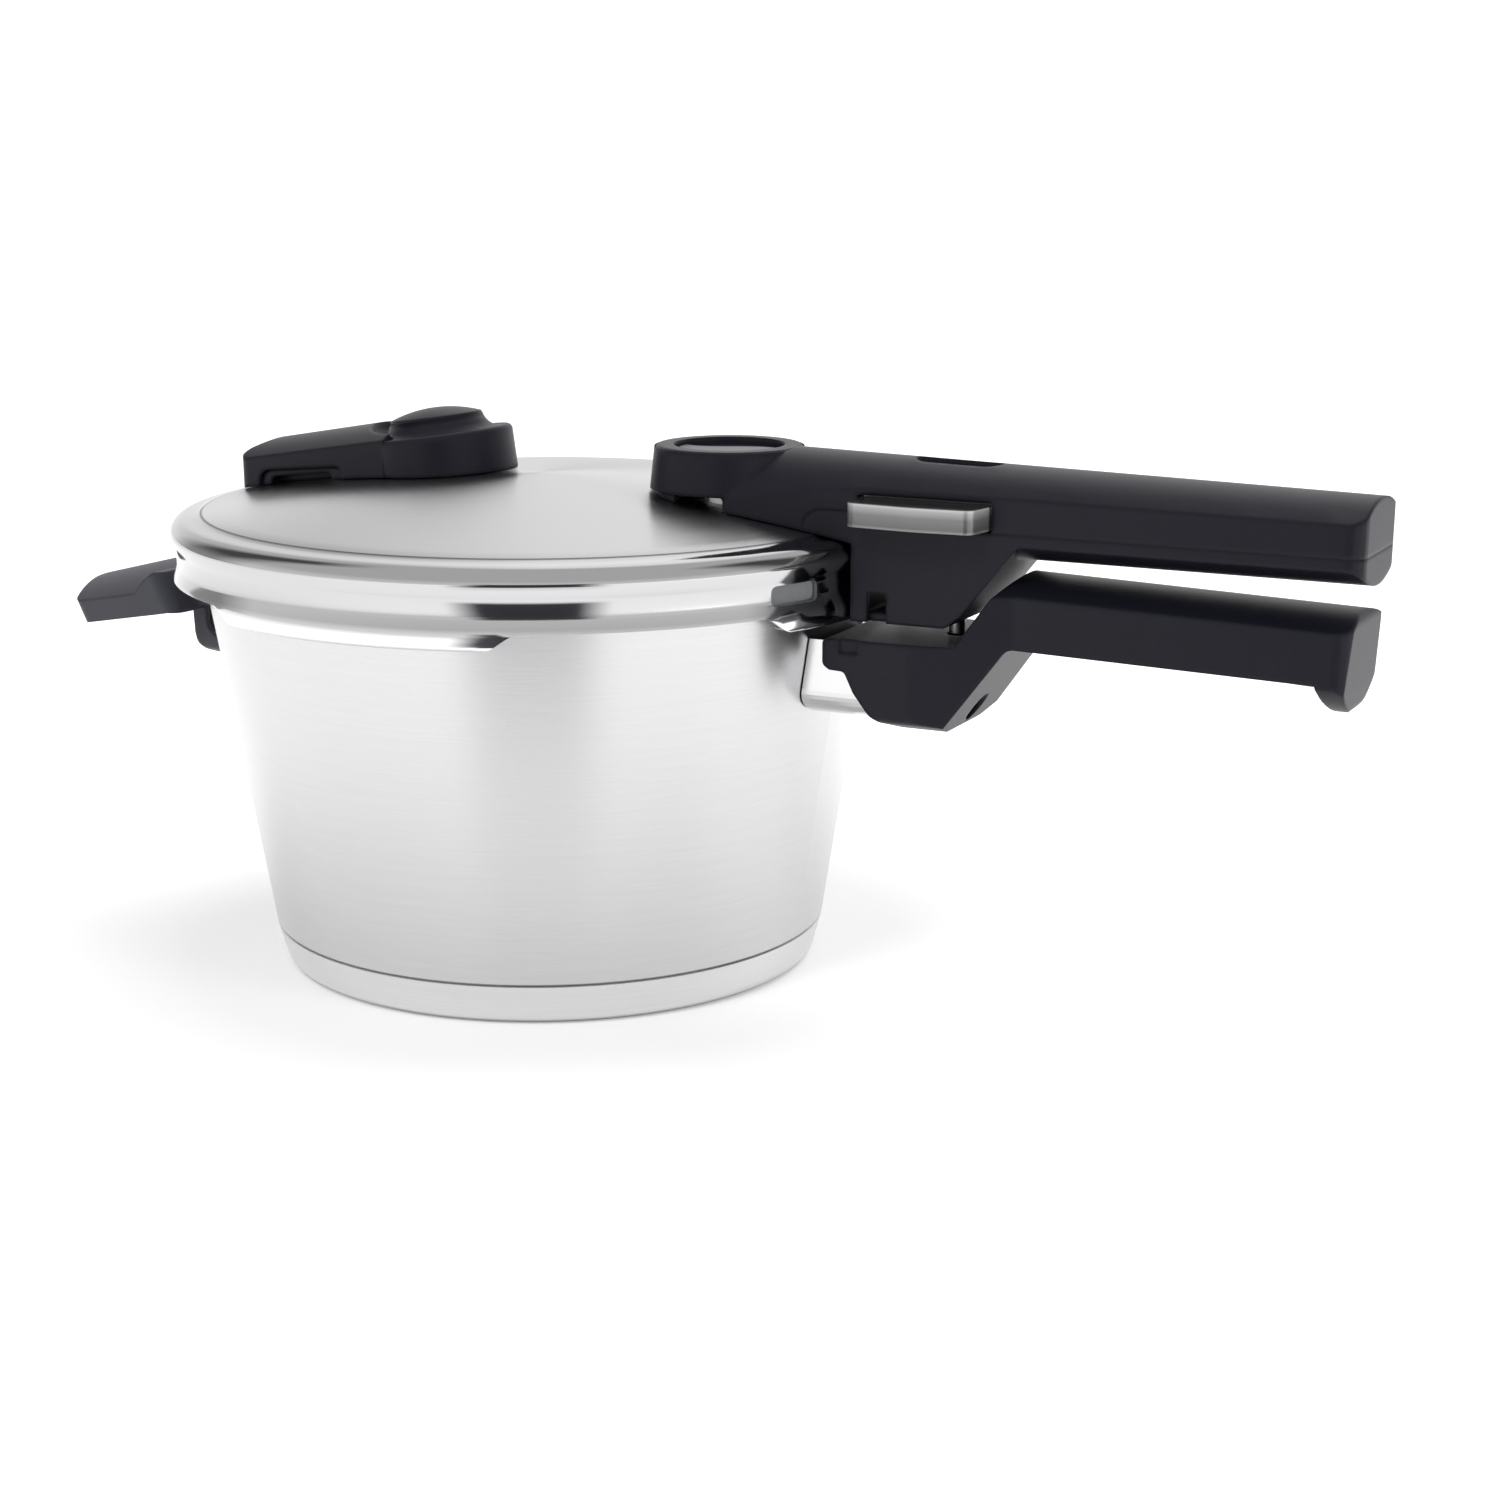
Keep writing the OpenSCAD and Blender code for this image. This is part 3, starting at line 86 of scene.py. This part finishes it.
class Finish:
    """A finish being made up: its node tree, its object coordinates and the nodes added to them."""

    ENDS = {"materials": "ShaderNodeOutputMaterial", "worlds": "ShaderNodeOutputWorld"}

    def __init__(self, name, kind="materials"):
        self.owner = getattr(bpy.data, kind).new(name)
        self.owner.use_nodes = True
        self.tree = self.owner.node_tree
        self.tree.nodes.clear()
        self.end = self.ENDS[kind]

    def add(self, kind, settings={}, sockets={}, out=0):
        """A node of a kind, with its settings and with values or lines on its sockets; gives one output."""
        node = self.tree.nodes.new(kind)
        for name, value in settings.items():
            if name == "stops":
                while len(node.color_ramp.elements) < len(value):
                    node.color_ramp.elements.new(0.5)
                for stop, (place, level) in zip(node.color_ramp.elements, value):
                    stop.position = place
                    stop.color = (level, level, level, 1)
            else:
                setattr(node, name, value)
        for name, value in sockets.items():
            if isinstance(value, Line):
                self.tree.links.new(value.socket, node.inputs[name])
            else:
                node.inputs[name].default_value = value
        return Line(self, node.outputs[out]) if len(node.outputs) else None

    def split(self, vector):
        return [self.add("ShaderNodeSeparateXYZ", {}, {0: vector}, out=i) for i in range(3)]

    def axes(self):
        """The object coordinates, kept as place, and their three parts."""
        self.place = self.add("ShaderNodeTexCoord", out="Object")
        return self.split(self.place)

    def vector(self, x, y, z):
        return self.add("ShaderNodeCombineXYZ", {}, {0: x, 1: y, 2: z})

    def noise(self, vector, scale, detail=3.0, roughness=0.55):
        return self.add("ShaderNodeTexNoise", {}, {"Vector": vector, "Scale": scale, "Detail": detail,
                                                   "Roughness": roughness})

    def angle(self, side, front):
        return self.add("ShaderNodeMath", {"operation": "ARCTAN2"}, {0: side, 1: front})

    def ramp(self, value, *stops):
        return self.add("ShaderNodeValToRGB", {"stops": stops}, {0: value})

    def mix(self, factor, first, second):
        return self.add("ShaderNodeMix", {"data_type": "RGBA"}, {0: factor, 6: first, 7: second}, out=2)

    def blend(self, factor, first, second):
        return self.add("ShaderNodeMixShader", {}, {0: factor, 1: first, 2: second})

    def rounded(self, corner):
        """Normals that run round each edge, for corners that a mould or a buff has taken off."""
        return self.add("ShaderNodeBevel", {"samples": 6}, {"Radius": corner})

    def bump(self, height, strength, distance, **over):
        return self.add("ShaderNodeBump", {}, {"Height": height, "Strength": strength, "Distance": distance,
                                               **over})

    def coat(self, **sockets):
        return self.add("ShaderNodeBsdfPrincipled", {}, {k.replace("_", " "): v for k, v in sockets.items()})

    def close(self, shader):
        self.add(self.end, {}, {"Surface": shader})
        return self.owner


def spun(finish):
    """The turn round the pot's axis, the distance from it, the height, and the brushing's direction."""
    x, y, z = finish.axes()
    ring = finish.add("ShaderNodeTangent", {"direction_type": "RADIAL", "axis": "Z"})
    return finish.angle(y, x), (x * x + y * y).root(), z, ring


def dress(material, *names):
    for name in names:
        mesh = nodes[name].data
        mesh.materials.clear()
        mesh.materials.append(material)


WALL_TONES = (0.55, 0.55, 0.556, 1), (0.68, 0.68, 0.686, 1)
SEAM_TONE = (0.07, 0.07, 0.073, 1)
SEAM_LOW = 0.0131
wall = Finish("wall_brushed_steel")
turn, reach, z, ring = spun(wall)
fine = wall.noise(wall.vector(turn * 5.0, z * 2600, reach * 300), 1.0, 2.0)
broad = wall.noise(wall.vector(turn * 1.4, z * 420, reach * 20), 1.0, 4.0, 0.7)
seam = ((z - SEAM_LOW) * 1400).clamp()
dress(wall.close(wall.coat(
    Base_Color=wall.mix(seam, SEAM_TONE, wall.mix(fine * 0.6 + broad * 0.4, *WALL_TONES)),
    Metallic=1.0, Roughness=0.24 + 0.10 * fine + 0.06 * broad, Anisotropic=0.7, Anisotropic_Rotation=0.25,
    Tangent=ring, Normal=wall.bump(fine, 0.12, 0.0002))), "pot_body")

# Base. A cast aluminium core spreads the heat, and a steel capsule is impact bonded round it. The capsule
# is turned satin, a little lighter than the wall. Its heel, where it rolls under to the sole, is painted dark:
# a painted reflection of the dark underside.
core = Finish("core_cast_aluminium")
core.axes()
grain = core.noise(core.place, 900.0)
dress(core.close(core.coat(Base_Color=(0.60, 0.61, 0.62, 1), Metallic=1.0, Roughness=0.4 + 0.2 * grain)),
      "base_core")

CAPSULE_TONES = (0.68, 0.68, 0.685, 1), (0.78, 0.78, 0.785, 1)
HEEL_PAINTED_SHADE = (0.05, 0.05, 0.053, 1)
HEEL_LOW = 0.0002
SOLE_R = 0.0840
capsule = Finish("capsule_satin_steel")
turn, reach, z, ring = spun(capsule)
fine = capsule.noise(capsule.vector(turn * 1.2, z * 1100, reach * 1100), 1.0, 2.0)
sole = ((SOLE_R - reach) * 2000).clamp()
# Painted shade: the capsule is painted dark near the table, outside the sole's radius.
heel = ((z - HEEL_LOW) * 650 + sole).clamp()
dress(capsule.close(capsule.coat(
    Base_Color=capsule.mix(heel, HEEL_PAINTED_SHADE, capsule.mix(fine, *CAPSULE_TONES)), Metallic=1.0,
    Roughness=0.26 + 0.12 * fine, Anisotropic=0.55, Anisotropic_Rotation=0.25, Tangent=ring,
    Normal=capsule.bump(fine, 0.1, 0.0002))), "base_capsule")

# Flame guards. Each is a U of thin stainless sheet, bent over a tool and polished, that keeps a flame
# off the plastic between the grip's head and the wall.
guard = Finish("guard_polished_steel")
guard.axes()
smear = guard.noise(guard.place, 60.0, 3.0)
dress(guard.close(guard.coat(
    Base_Color=(0.63, 0.63, 0.635, 1), Metallic=1.0, Roughness=0.10 + 0.08 * smear,
    Normal=guard.bump(smear, 0.06, 0.0006))), "flame_guard", "helper_guard")

# Black mouldings. The pot handle, both halves of the lid handle, its spacer and the valve's housing are
# glass-filled phenolic in a matte blue-black, with a fine grain from the spark-eroded mould. The pot handle
# is held by one screw to a bracket that is spot welded to the wall inside its head.


def grained(finish, corner):
    """The mould's grain, and the normals that it gives over corners rounded by a radius."""
    finish.axes()
    pitch = finish.noise(finish.place, 2600.0, 2.0, 0.6)
    return pitch, finish.bump(pitch, 0.14, 0.0003, Normal=finish.rounded(corner))


GRIP_TONES = (0.0072, 0.0074, 0.0125, 1), (0.0098, 0.0100, 0.0162, 1)
grip = Finish("grip_matte_phenolic")
pitch, skin = grained(grip, 0.0020)
cloud = grip.noise(grip.place, 45.0, 3.0)
dress(grip.close(grip.coat(
    Base_Color=grip.mix(cloud, *GRIP_TONES), Roughness=0.36 + 0.10 * pitch, Specular_IOR_Level=0.20, Normal=skin)),
    "pot_handle", "lid_handle_top", "lid_handle_base", "head_spacer", "valve_housing", "steam_outlet",
    "indicator_cap")

# Helper handle. The small grip on the far side is of the same moulding stock in a lighter charcoal, with a
# lip at its root. It hides its own bracket and screw.
charcoal = Finish("helper_charcoal_phenolic")
pitch, skin = grained(charcoal, 0.0016)
dress(charcoal.close(charcoal.coat(
    Base_Color=(0.040, 0.041, 0.052, 1), Roughness=0.42 + 0.1 * pitch, Specular_IOR_Level=0.35, Normal=skin)),
    "helper_handle")

# Brackets, fasteners, springs and pins. They are pressed, turned or coiled from plain stainless stock and
# left as they come from the tool, because the handles, the housing and the lid hide them.
plain = Finish("plain_turned_steel")
x, y, z = plain.axes()
marks = plain.noise(plain.vector(x * 300, y * 300, z * 2500), 1.0, 2.0)
dress(plain.close(plain.coat(
    Base_Color=(0.50, 0.50, 0.505, 1), Metallic=1.0, Roughness=0.22 + 0.15 * marks,
    Normal=plain.bump(marks, 0.08, 0.0002))),
    "handle_bracket", "pot_handle_screw", "helper_bracket", "helper_screw", "handle_bolt", "handle_screws",
    "button_spring", "lock_spring", "lock_pin", "valve_nut", "valve_spring", "indicator_stem", "float_bush",
    "float_pin")

# Lid. The dome is pressed from stainless sheet and brushed in rings on a lathe, so a lamp spreads over it
# in a fan. A rolled crease parts it from the collar, the band and the hooked skirt, which are mirror
# polished, so this shell is a merged copy of the CAD node with its seams smoothed.
DOME_R = 0.1096
DOME_LOW = 0.1440
SKIRT_TOP = 0.1300
EDGE_RATE = 4000
DOME_TONES = (0.55, 0.55, 0.555, 1), (0.67, 0.67, 0.674, 1)
MIRROR_SHADED_AND_LIT_TONES = (0.50, 0.50, 0.506, 1), (0.78, 0.78, 0.786, 1)
FAIR_ANGLE = 38
lid = Finish("lid_spun_and_polished_steel")
turn, reach, z, ring = spun(lid)
fine = lid.noise(lid.vector(turn * 3.0, reach * 2400, z * 200), 1.0, 2.0)
broad = lid.noise(lid.vector(turn * 1.2, reach * 420, 0.0), 1.0, 4.0, 0.7)
dome = lid.coat(
    Base_Color=lid.mix(fine * 0.6 + broad * 0.4, *DOME_TONES), Metallic=1.0,
    Roughness=0.24 + 0.10 * fine + 0.05 * broad, Anisotropic=0.8, Anisotropic_Rotation=0.25, Tangent=ring,
    Normal=lid.bump(fine, 0.12, 0.0002))
# Painted light and shade on the mirror steel: the collar is painted darker, and the band and skirt below SKIRT_TOP
# are painted lighter, standing for what each mirrors.
low = ((SKIRT_TOP - z) * 300).clamp()
mirror = lid.coat(Base_Color=lid.mix(low, *MIRROR_SHADED_AND_LIT_TONES), Metallic=1.0, Roughness=0.10)
# Painted shade: a dark ring is painted along the crease where the dome meets the collar.
shade = lid.coat(Base_Color=(0.09, 0.09, 0.095, 1), Metallic=1.0, Roughness=0.35)
inside = ((DOME_R - reach) * EDGE_RATE + 0.5).clamp()
above = ((z - DOME_LOW) * EDGE_RATE + 0.5).clamp()
crease = (1 - abs(reach - DOME_R) * 1600).clamp()
dress(lid.close(lid.blend(crease * above, lid.blend(inside * above, mirror, dome), shade)), "lid_shell")

shell = bpy.data.objects.new("lid_polished_shell", nodes["lid_shell"].data.copy())
bpy.context.scene.collection.objects.link(shell)
shell.matrix_world = nodes["lid_shell"].matrix_world
bpy.ops.object.select_all(action="DESELECT")
shell.select_set(True)
bpy.context.view_layer.objects.active = shell
bpy.ops.mesh.customdata_custom_splitnormals_clear()
bpy.ops.object.mode_set(mode="EDIT")
bpy.ops.mesh.select_all(action="SELECT")
bpy.ops.mesh.remove_doubles(threshold=0.00001)
bpy.ops.object.mode_set(mode="OBJECT")
bpy.ops.object.shade_smooth_by_angle(angle=radians(FAIR_ANGLE))
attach(shell, "lid")
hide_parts("lid_shell")

# Sealing ring and the small seals. Each is moulded in grey silicone, matte, with a faint bloom. The ring
# lies under the lid's collar and the small ones are clamped under the valve and the float's bush.
silicone = Finish("grey_silicone")
silicone.axes()
bloom = silicone.noise(silicone.place, 240.0, 3.0)
dress(silicone.close(silicone.coat(
    Base_Color=silicone.mix(bloom, (0.17, 0.175, 0.185, 1), (0.24, 0.245, 0.255, 1)),
    Roughness=0.55 + 0.15 * bloom, Normal=silicone.bump(bloom, 0.1, 0.0003))),
    "sealing_ring", "valve_seal", "float_seal")

# Cap of the lid handle's head. It is moulded in the same phenolic with a smoother face and a raised wavy
# field, is pressed into the head's recess over the bolt, and carries no mark.
cap = Finish("cap_satin_phenolic")
cap.axes()
pitch = cap.noise(cap.place, 1800.0, 2.0)
dress(cap.close(cap.coat(Base_Color=(0.018, 0.020, 0.027, 1), Roughness=0.30 + 0.08 * pitch,
                         Normal=cap.bump(pitch, 0.06, 0.0003))), "head_cap")

# Brass parts inside. The insert that the head's bolt screws into and the body of the valve are turned
# from bar, and the valve's body is drawn down on its seal by the nut under the lid.
brass = Finish("turned_brass")
x, y, z = brass.axes()
marks = brass.noise(brass.vector(x * 200, y * 200, z * 3000), 1.0, 2.0)
dress(brass.close(brass.coat(
    Base_Color=brass.mix(marks, (0.52, 0.38, 0.15, 1), (0.62, 0.47, 0.20, 1)), Metallic=1.0,
    Roughness=0.25 + 0.12 * marks)), "handle_insert", "valve_body")

# Window and flag in the handle's crown. A smoked lens is pressed into the crown, over a green moulded flag
# that lies on the lock pin's crosshead and rises with it.
lens = Finish("smoked_lens")
lens.axes()
cloud = lens.noise(lens.place, 120.0, 2.0)
dress(lens.close(lens.coat(Base_Color=(0.02, 0.021, 0.028, 1), Roughness=0.06 + 0.05 * cloud, Coat_Weight=0.6,
                           Coat_Roughness=0.04)), "window")
flag = Finish("green_flag")
flag.axes()
cloud = flag.noise(flag.place, 300.0, 2.0)
dress(flag.close(flag.coat(Base_Color=flag.mix(cloud, (0.02, 0.20, 0.06, 1), (0.03, 0.26, 0.08, 1)),
                           Roughness=0.5)), "lock_flag")

# Operating button. It is moulded in a warm grey and polished, with a chamfer along its front edge, and
# slides in a slot of the lid handle against its spring. Its grey goes by height: painted light at the foot,
# a painted highlight in a light band under the top edge, and a dark top that is bare.
BUTTON_TOP, BUTTON_H = 0.1612, 0.0073
BUTTON_TONE_AND_HIGHLIGHT_STOPS = (0.0, 0.30), (0.12, 0.10), (0.55, 0.16), (0.86, 0.38), (0.95, 0.55), (0.985, 0.030)
button = Finish("button_polished_grey")
x, y, z = button.axes()
smear = button.noise(button.place, 90.0, 3.0)
height = (z - (BUTTON_TOP - BUTTON_H)) / BUTTON_H
dress(button.close(button.coat(
    Base_Color=button.ramp(height, *BUTTON_TONE_AND_HIGHLIGHT_STOPS), Metallic=0.2, Roughness=0.14 + 0.08 * smear,
    Coat_Weight=0.5, Coat_Roughness=0.08, Normal=button.rounded(0.0008))), "operating_button")

# Cooking indicator's band. A ring of orange plastic is snapped round the foot of the black cap, and comes
# out of the housing when the stem rises under steam.
band = Finish("orange_band")
band.axes()
cloud = band.noise(band.place, 300.0, 2.0)
dress(band.close(band.coat(Base_Color=band.mix(cloud, (0.60, 0.12, 0.015, 1), (0.70, 0.16, 0.02, 1)),
                           Roughness=0.4)), "indicator_band")

# Table and studio. A white sweep lies under a soft lamp behind on the right, one in front and a low one on
# the right, with pale air round them. Metal and glass see the same white, with darker cards stood in it as
# between the lamps of a studio, and the lamps themselves are flagged off the metal.


def soft_band(finish, value, low, high, soft):
    """1 between low and high, falling to 0 over the width soft on both sides."""
    middle, half = (low + high) / 2, (high - low) / 2
    return ((half - abs(value - middle)) / soft + 0.5).clamp()


def bearing(finish, x, y, azimuth):
    """How far a direction lies to the side of an azimuth, in radians."""
    side = y * cos(radians(azimuth)) - x * sin(radians(azimuth))
    front = x * cos(radians(azimuth)) + y * sin(radians(azimuth))
    return finish.angle(side, front)


def rays(finish):
    """Whether a ray comes from the camera, metal or glass, and whether it comes from metal."""
    camera_ray = finish.add("ShaderNodeLightPath", out="Is Camera Ray")
    glossy_ray = finish.add("ShaderNodeLightPath", out="Is Glossy Ray")
    clear_ray = finish.add("ShaderNodeLightPath", out="Is Transmission Ray")
    return (camera_ray + glossy_ray + clear_ray).clamp(), glossy_ray


CARD_SIDE, LEFT_SIDE, RIGHT_SIDE, STRIP_SIDE, FRONT_SIDE = -63, 175, 30, 112, -60
FADE_START = 0.12
CARD_START = 0.32
bpy.ops.mesh.primitive_plane_add(size=16, location=(0, 0, 0))
floor = bpy.context.object
floor.name = "table_top"
top = Finish("table_white")
seen, glossy_ray = rays(top)
x, y, z = top.axes()
far = (x * x + y * y).root()
away = ((far - FADE_START) * 6).clamp()
paper = top.add("ShaderNodeBsdfDiffuse", {}, {"Color": (0.75, 0.75, 0.75, 1)})
glow = top.add("ShaderNodeEmission", {}, {"Color": (1, 1, 1, 1), "Strength": seen * (0.33 + away * 0.44)})
white = top.add("ShaderNodeAddShader", {}, {0: paper, 1: glow})
gloom = top.add("ShaderNodeEmission", {}, {"Color": (0.06, 0.06, 0.07, 1), "Strength": 1.0})
card = soft_band(top, bearing(top, x, y, CARD_SIDE), -0.34, 0.30, 0.16) * ((far - CARD_START) * 7).clamp()
floor.data.materials.append(top.close(top.blend(glossy_ray * card, white, gloom)))

air = Finish("studio_air", "worlds")
seen, glossy_ray = rays(air)
x, y, z = air.split(air.add("ShaderNodeTexCoord", out="Generated"))
lift = air.add("ShaderNodeMath", {"operation": "ARCSINE"}, {0: z})
over = air.angle(z, x * cos(radians(FRONT_SIDE)) + y * sin(radians(FRONT_SIDE)))
tall = soft_band(air, lift, -0.9, 1.0, 0.2)
room = soft_band(air, bearing(air, x, y, CARD_SIDE), -0.30, 0.30, 0.12) * soft_band(air, lift, -0.9, 0.16, 0.05)
left_flag = soft_band(air, bearing(air, x, y, LEFT_SIDE), -0.30, 0.30, 0.3) * tall
right_flag = soft_band(air, bearing(air, x, y, RIGHT_SIDE), -0.30, 0.30, 0.3) * tall
upper = ((lift - 0.12) * 3).clamp()
dark = (room * 0.93 + left_flag * 0.6 + right_flag * 0.6 + upper * 0.30).clamp()
across = soft_band(air, bearing(air, x, y, STRIP_SIDE), -0.30, 0.30, 0.30)
strip = soft_band(air, over, 2.10, 2.85, 0.25) * across
strength = (0.55 + seen * 0.45) * (1 - glossy_ray * dark) + glossy_ray * strip * 0.6
sky = air.add("ShaderNodeBackground", {}, {"Color": (1, 1, 1, 1), "Strength": strength})
bpy.context.scene.world = air.close(sky)


def lamp(name, place, aim, size, power):
    light = bpy.data.lights.new(name, "AREA")
    light.shape = "RECTANGLE"
    light.size, light.size_y = size
    light.energy = power
    stand = bpy.data.objects.new(name, light)
    stand.visible_glossy = False
    bpy.context.scene.collection.objects.link(stand)
    stand.location = place
    stand.rotation_euler = (Vector(aim) - Vector(place)).to_track_quat("-Z", "Y").to_euler()


lamp("key_lamp", (0.60, 0.85, 1.50), (0, 0, 0.1), (0.9, 0.9), 10)
lamp("front_lamp", (-0.10, -1.20, 1.30), (0, 0, 0.1), (0.5, 0.5), 9)
lamp("right_lamp", (1.60, -0.35, 0.55), (0.1, 0, 0.1), (0.5, 0.8), 7)

bpy.context.scene.view_settings.view_transform = "Standard"
view = bpy.data.cameras.new("view")
view.lens = 66.78
view.sensor_width = 36
view.shift_y = 0.1237
camera = bpy.data.objects.new("view", view)
bpy.context.scene.collection.objects.link(camera)
camera.location = (0.4619, -0.7842, 0.2811)
camera.rotation_euler = (radians(72.90), 0, radians(26.25))
bpy.context.scene.camera = camera

bpy.context.view_layer.update()
